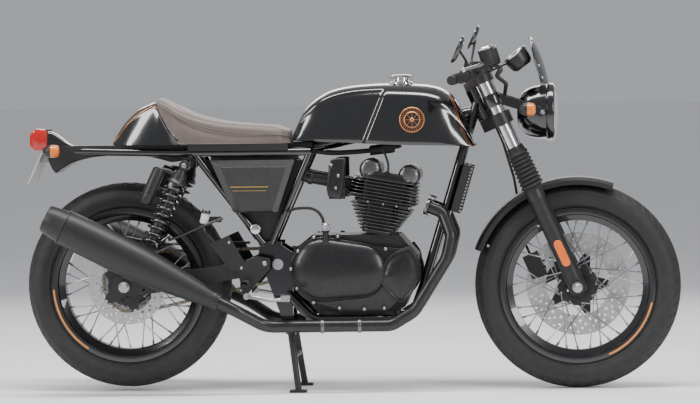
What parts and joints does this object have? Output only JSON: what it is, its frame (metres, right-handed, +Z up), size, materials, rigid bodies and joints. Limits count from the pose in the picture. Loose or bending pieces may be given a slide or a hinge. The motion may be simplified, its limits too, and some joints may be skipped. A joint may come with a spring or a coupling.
{
  "type": "cafe racer motorcycle",
  "caption": "Two-wheeled road motorcycle in cafe racer style: finned parallel-twin engine in a double-cradle frame, wire wheels, low bars, round headlamp and a humped seat.",
  "frame": {"origin": "on the floor, midway between the two axles, in the centre plane", "axes": "+X forward, +Y to the rider's left, +Z up"},
  "size_m": [2.0362, 0.744, 1.1309],
  "materials": {
    "tyre": "satin",
    "rim": "gloss",
    "hub": "satin",
    "disc": "brushed",
    "sprocket": "satin",
    "axle": "satin",
    "fork": "satin",
    "gaiter": "matte",
    "black_part": "satin",
    "black_frame": "gloss",
    "lamp_glass": "clear",
    "clock": "gloss",
    "screen": "gloss",
    "bar": "satin",
    "control": "matte",
    "mirror": "satin",
    "indicator": "gloss",
    "caliper": "satin",
    "hose": "matte",
    "swingarm": "satin",
    "shock": "gloss",
    "engine": "satin",
    "exhaust": "matte",
    "intake": "matte",
    "cooler": "matte",
    "tank_paint": "gloss",
    "cap": "polished",
    "seat": "matte",
    "tail_lamp": "gloss",
    "board": "matte",
    "chain": "satin",
    "stand": "satin"
  },
  "bodies": {
    "chassis": {"rear_axle": "axle", "rear_indicators": "indicator", "frame_cradle": "black_frame", "frame_rear": "black_frame", "swingarm": "swingarm", "pivot_bolt": "axle", "shocks": "shock", "crankcase": "engine", "engine_covers": "engine", "cylinders": "engine", "exhaust_headers": "exhaust", "silencers": "exhaust", "throttle_bodies": "intake", "airbox": "black_part", "side_panels": "black_part", "oil_cooler": "cooler", "fuel_tank": "tank_paint", "fuel_cap": "cap", "seat": "seat", "seat_base": "black_part", "tail_cowl": "tank_paint", "tail_tray": "black_part", "tail_lamp": "tail_lamp", "number_plate": "board", "chain": "chain", "front_sprocket": "sprocket", "chain_guard": "black_part", "footrests": "black_part", "foot_controls": "axle", "rear_brake": "caliper"},
    "fork": {"fork_legs": "fork", "fork_gaiters": "gaiter", "yokes": "black_part", "front_mudguard": "black_part", "headlamp": "black_part", "headlamp_lens": "lamp_glass", "clocks": "clock", "flyscreen": "screen", "handlebars": "bar", "hand_controls": "control", "mirrors": "mirror", "front_indicators": "indicator", "front_caliper": "caliper", "brake_hose": "hose", "hand_cables": "hose", "front_axle": "axle"},
    "front_wheel": {"front_tyre": "tyre", "front_rim": "rim", "front_spokes": "hub", "front_disc": "disc"},
    "rear_wheel": {"rear_tyre": "tyre", "rear_rim": "rim", "rear_spokes": "hub", "rear_disc": "disc", "rear_sprocket": "sprocket"},
    "centre_stand": {"centre_stand": "stand"},
    "side_stand": {"side_stand": "stand"}
  },
  "joints": [
    {"name": "steering", "type": "hinge", "parent": "chassis", "child": "fork", "pos_m": [0.66246, 0, 0.30233], "axis": [-0.4067, 0, 0.9135], "range_deg": [-34, 34]},
    {"name": "front_wheel_spin", "type": "hinge", "parent": "fork", "child": "front_wheel", "pos_m": [0.699, 0, 0.3186], "axis": [0, 1, 0], "continuous": true},
    {"name": "rear_wheel_spin", "type": "hinge", "parent": "chassis", "child": "rear_wheel", "pos_m": [-0.699, 0, 0.3306], "axis": [0, 1, 0], "continuous": true},
    {"name": "centre_stand_fold", "type": "hinge", "parent": "chassis", "child": "centre_stand", "pos_m": [-0.19, 0, 0.19], "axis": [0, 1, 0], "range_deg": [0, 95]},
    {"name": "side_stand_fold", "type": "hinge", "parent": "chassis", "child": "side_stand", "pos_m": [0, 0.1, 0.192], "axis": [-0.0581, -0.8283, -0.5573], "range_deg": [0, 98]}
  ]
}
